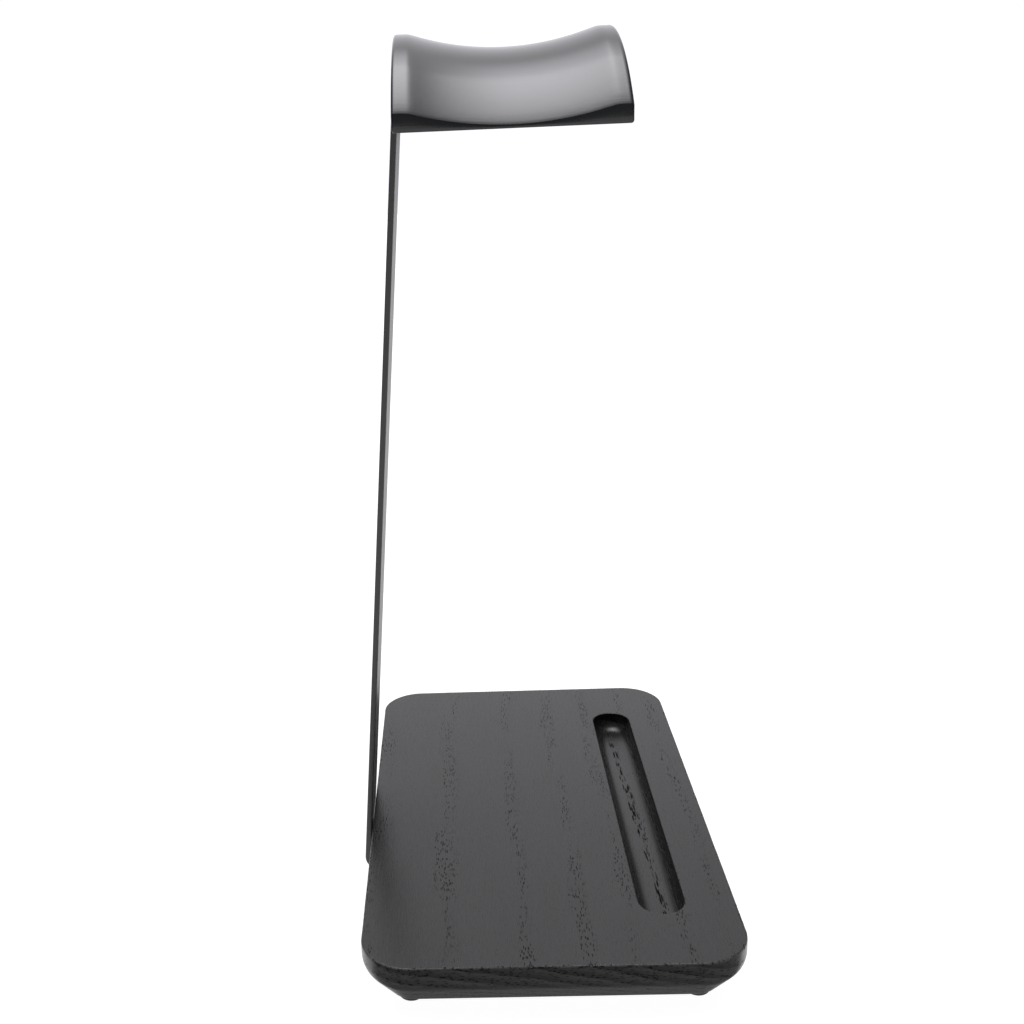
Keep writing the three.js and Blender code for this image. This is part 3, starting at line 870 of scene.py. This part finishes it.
def groove_vein_and_shade(look, phase):
    """The long pores where a ring meets the groove's floor, and pore cells crowded into its walls and
    coves as painted shade.
    """
    height = look.add("ShaderNodeSeparateXYZ", {0: look.scaled((1, 1, 1))}).outputs["Z"]
    sunk = look.smooth(height, BASE_HIGH[2] - 2.0, BASE_HIGH[2] - 0.6, 1.0, 0.0)
    shallow = look.smooth(height, BASE_HIGH[2] - 8.0, BASE_HIGH[2] - 7.0)
    from_middle = look.scaled((1, 1, 1), (0, -GROOVE_CENTRE[1], 0))
    across = look.add("ShaderNodeSeparateXYZ", {0: from_middle}).outputs["Y"]
    across = look.math("ABSOLUTE", across)
    half = GROOVE_WIDTH / 2
    line = look.math("MULTIPLY", look.smooth(phase, 0.0, 0.03), look.smooth(phase, 0.08, 0.2, 1, 0))
    # Painted shade: pore cells crowd towards the groove's walls, darkening its walls and coves
    painted_wall_shade = look.smooth(across, half - 2.4, half - 1.0, 0.0, 0.8)
    vein_and_wall_shade = pores(look, (6.0, 0.7, 0.7), 0.34, 0.46)
    vein_and_wall_shade = look.math("MULTIPLY", vein_and_wall_shade, look.math("MAXIMUM", line, painted_wall_shade))
    for share in (sunk, shallow, look.smooth(across, half, half + 0.3, 1.0, 0.0)):
        vein_and_wall_shade = look.math("MULTIPLY", vein_and_wall_shade, share)
    return vein_and_wall_shade


def facing(look):
    """How far a face looks along the grain, and how far up."""
    normal = look.add("ShaderNodeTexCoord").outputs["Normal"]
    parts = look.add("ShaderNodeSeparateXYZ", {0: normal}).outputs
    return parts["X"], parts["Z"]


def rubbed(look, wear):
    """Where handling has rubbed the stain off the arrises, broken up by noise."""
    breaks = look.noise((0.5, 0.5, 0.5), detail=5.0, roughness=0.7)
    edge = look.math("SUBTRACT", look.math("ADD", wear, breaks), 1.05)
    return look.smooth(edge, 0.0, 0.4, 0.0, 0.8)


def satin_lacquer():
    """Sprayed black lacquer over filled wood: faint orange peel and polishing streaks along Y."""
    look = Look("satin_lacquer", IOR=1.5)
    peel = look.noise((0.5, 0.5, 0.5), detail=2.0)
    streak = look.noise((1.6, 0.03, 1.6), detail=3.0, roughness=0.6)
    cloud = look.noise((0.04, 0.04, 0.04), detail=3.0)
    color = look.mix(cloud, grey(0.010, -0.08), grey(0.015, -0.08))
    shine = look.vary(0.08, streak, 0.10)
    shine = look.vary(shine, cloud, 0.04)
    relief = look.bump(peel, 0.006)
    relief = look.bump(streak, 0.009, relief)
    return look.finish(color, shine, relief)


def powder_coat():
    """Fine-textured black powder coat."""
    look = Look("powder_coat", IOR=1.5)
    grain = look.noise((4.0, 4.0, 4.0), detail=3.0, roughness=0.6)
    pebble = look.noise((1.2, 1.2, 1.2), detail=2.0)
    cloud = look.noise((0.03, 0.03, 0.03), detail=3.0)
    color = look.mix(cloud, grey(0.028), grey(0.040))
    color = look.mix(look.smooth(grain, 0.6, 0.8, 0.0, 0.3), color, grey(0.07))
    shine = look.vary(0.34, grain, 0.12)
    relief = look.bump(pebble, 0.02)
    relief = look.bump(grain, 0.012, relief)
    return look.finish(color, shine, relief)


def black_oxide():
    """Blackened steel, a little brighter where tools have touched it."""
    look = Look("black_oxide", Metallic=1.0)
    cloud = look.noise((0.6, 0.6, 0.6), detail=4.0)
    scuff = look.noise((2.5, 2.5, 0.8), detail=4.0, roughness=0.7)
    color = look.mix(cloud, grey(0.035, -0.05), grey(0.06, -0.05))
    color = look.mix(look.smooth(scuff, 0.6, 0.75, 0.0, 0.6), color, grey(0.22))
    shine = look.vary(0.3, cloud, 0.25)
    return look.finish(color, shine, look.bump(scuff, 0.01))


def turned_brass():
    """Brass with turning marks round its axis and some tarnish."""
    look = Look("turned_brass", Metallic=1.0)
    marks = look.noise((0.2, 0.2, 9.0), detail=3.0, roughness=0.7)
    tarnish = look.noise((0.5, 0.5, 0.5), detail=4.0)
    color = look.mix(look.smooth(tarnish, 0.4, 0.7), (0.60, 0.43, 0.17, 1), (0.36, 0.24, 0.10, 1))
    shine = look.vary(0.22, tarnish, 0.3)
    return look.finish(color, shine, look.bump(marks, 0.008))


def matte_rubber():
    """Moulded black rubber with fine grain and a trace of dust."""
    look = Look("matte_rubber", IOR=1.5)
    grain = look.noise((3.0, 3.0, 3.0), detail=3.0, roughness=0.6)
    dust = look.noise((0.9, 0.9, 0.9), detail=5.0, roughness=0.7)
    color = look.mix(look.smooth(dust, 0.55, 0.75, 0.0, 0.4), grey(0.010), grey(0.05, 0.04))
    shine = look.vary(0.62, grain, 0.2)
    return look.finish(color, shine, look.bump(grain, 0.012))


# ---- Assembly -----------------------------------------------------------------------------------


def install(piece, node, material):
    """Dresses a finished piece and lets it stand for its CAD node."""
    piece.data.materials.clear()
    piece.data.materials.append(material)
    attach(piece, "root")
    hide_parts(node)


def install_at_node(piece, node, material):
    low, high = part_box(node)
    middle = (low + high) / 2
    piece.location = (middle.x, middle.y, low.z)
    install(piece, node, material)


install(base_board(), "base_board", stained_ash())
install(post_strip(), "post_strip", powder_coat())
install(headrest(), "headrest", satin_lacquer())

STEEL = black_oxide()
BRASS = turned_brass()
RUBBER = matte_rubber()
for number in (1, 2, 3):
    head, head_height = countersunk_head()
    part = screw(f"countersunk_{number}", head, head_height, COUNTERSUNK_LENGTH)
    install_at_node(part, f"base_screw_{number}", STEEL)
    part = threaded_insert(f"base_sleeve_{number}")
    install_at_node(part, f"base_insert_{number}", BRASS)
for number in (1, 2):
    head, head_height = button_head()
    part = screw(f"button_{number}", head, head_height, BUTTON_LENGTH)
    install_at_node(part, f"headrest_screw_{number}", STEEL)
    part = threaded_insert(f"head_sleeve_{number}")
    install_at_node(part, f"headrest_insert_{number}", BRASS)
for number in (1, 2, 3, 4):
    part = bumper_foot(f"bumper_{number}")
    install_at_node(part, f"foot_{number}", RUBBER)

# ---- Floor, light and camera --------------------------------------------------------------------

FLOOR_HALF = 4.0                # metres from the middle to each side
FLOOR_STEPS = 8                 # squares along each side
FLOOR_TONE = 0.32
FLOOR_GLOW = 0.97
CEILING_GLOW = 4.6              # the soft ceiling light, above the level of the walls
CEILING_FAR = (0.25, 1.25)      # it fades out between these slopes towards +X
CEILING_NEAR = (-0.14, 0.18)    # and between these towards -X
CEILING_BACK = (0.0, 0.7)       # towards +Y
CEILING_FRONT = (-0.30, -0.03)  # towards -Y
HORIZON = 0.02                  # least height of a direction, so that slopes stay finite
WALL_FAR = 1.0                  # how bright the walls are towards +X
WALL_NEAR = 0.15                # and towards -X
WALL_TURN = (-0.5, 0.3)         # where along X they change
SIDE_WALLS = 0.2                # how much of that is left towards +Y and -Y
SIDE_TURN = (0.24, 0.55)        # where along Y it falls off
BACKGROUND = 1.05               # how bright the camera itself sees the room
LIGHT_COLOR = (1.0, 0.987, 1.035, 1)
SOFTBOX_PLACE = (0.42, 0.10, 1.6)
SOFTBOX_SIZE = (0.8, 0.7)       # along X and along Y
SOFTBOX_RADIANCE = 0.8

CAMERA_FROM_BASE = (-0.43232, 0.02577, 0.24817)  # from the middle of the base's top
CAMERA_HEADING = 2.218          # degrees from +X towards +Y
CAMERA_PITCH = -16.78
CAMERA_ROLL = -2.508
CAMERA_LENS = 44.26
CAMERA_SHIFT = 0.0978


def floor():
    row = FLOOR_STEPS + 1
    spots = np.linspace(-FLOOR_HALF, FLOOR_HALF, row) / MM
    points = [(x, y, 0.0) for y in spots for x in spots]
    faces = [
        (j * row + i, j * row + i + 1, (j + 1) * row + i + 1, (j + 1) * row + i)
        for j in range(FLOOR_STEPS)
        for i in range(FLOOR_STEPS)
    ]
    piece = mesh_from("floor", points, faces)
    look = Look("floor_paint", Roughness=0.9, Emission_Strength=FLOOR_GLOW)
    look.shader.inputs["Emission Color"].default_value = (1, 1, 1, 1)
    mottle = look.noise((0.004, 0.004, 0.004), detail=2.0)
    color = look.mix(mottle, grey(FLOOR_TONE), grey(FLOOR_TONE * 1.02))
    piece.data.materials.append(look.finish(color))


def surroundings():
    """A white room with a soft ceiling light; in reflections it is darker towards -X."""
    world = bpy.data.worlds.new("studio")
    bpy.context.scene.world = world
    world.use_nodes = True
    sky = Nodes(world.node_tree)
    direction = sky.add("ShaderNodeTexCoord").outputs["Generated"]
    x, y, z = sky.add("ShaderNodeSeparateXYZ", {0: direction}).outputs
    height = sky.math("MAXIMUM", z, HORIZON)
    along = sky.math("DIVIDE", x, height)
    across = sky.math("DIVIDE", y, height)
    ceiling = sky.smooth(along, *CEILING_FAR, CEILING_GLOW, 0.0)
    for value, (low, high), ends in (
        (along, CEILING_NEAR, (0.0, 1.0)),
        (across, CEILING_BACK, (1.0, 0.0)),
        (across, CEILING_FRONT, (0.0, 1.0)),
    ):
        ceiling = sky.math("MULTIPLY", ceiling, sky.smooth(value, low, high, *ends))
    walls = sky.smooth(x, *WALL_TURN, WALL_NEAR, WALL_FAR)
    sides = sky.math("ABSOLUTE", y)
    walls = sky.math("MULTIPLY", walls, sky.smooth(sides, *SIDE_TURN, 1.0, SIDE_WALLS))
    glow = sky.math("ADD", ceiling, walls)
    seen = sky.add("ShaderNodeLightPath").outputs["Is Camera Ray"]
    strength = sky.add("ShaderNodeMix", {"Factor": seen, "A": glow, "B": BACKGROUND}).outputs[0]
    background = sky.tree.nodes["Background"]
    sky.put(background.inputs["Color"], LIGHT_COLOR)
    sky.put(background.inputs["Strength"], strength)


def softbox():
    light = bpy.data.lights.new("softbox", "AREA")
    light.shape = "RECTANGLE"
    light.size, light.size_y = SOFTBOX_SIZE
    light.energy = SOFTBOX_RADIANCE * math.pi * SOFTBOX_SIZE[0] * SOFTBOX_SIZE[1]
    lamp = bpy.data.objects.new("softbox", light)
    lamp.location = SOFTBOX_PLACE
    lamp.visible_camera = False
    bpy.context.scene.collection.objects.link(lamp)


def camera():
    data = bpy.data.cameras.new("camera")
    data.lens = CAMERA_LENS
    data.sensor_width = 36.0
    data.shift_x = CAMERA_SHIFT
    data.clip_start = 0.01
    view = bpy.data.objects.new("camera", data)
    heading, pitch = math.radians(CAMERA_HEADING), math.radians(CAMERA_PITCH)
    ahead = Vector((
        math.cos(pitch) * math.cos(heading),
        math.cos(pitch) * math.sin(heading),
        math.sin(pitch),
    ))
    turn = Quaternion((0, 0, 1), math.radians(CAMERA_ROLL))
    view.rotation_mode = "QUATERNION"
    view.rotation_quaternion = ahead.to_track_quat("-Z", "Y") @ turn
    base_top = Vector((BASE_CENTRE[0], BASE_CENTRE[1], BASE_HIGH[2])) * MM
    view.location = base_top + Vector(CAMERA_FROM_BASE)
    bpy.context.scene.collection.objects.link(view)
    bpy.context.scene.camera = view


floor()
surroundings()
softbox()
camera()
bpy.context.scene.view_settings.view_transform = "Standard"
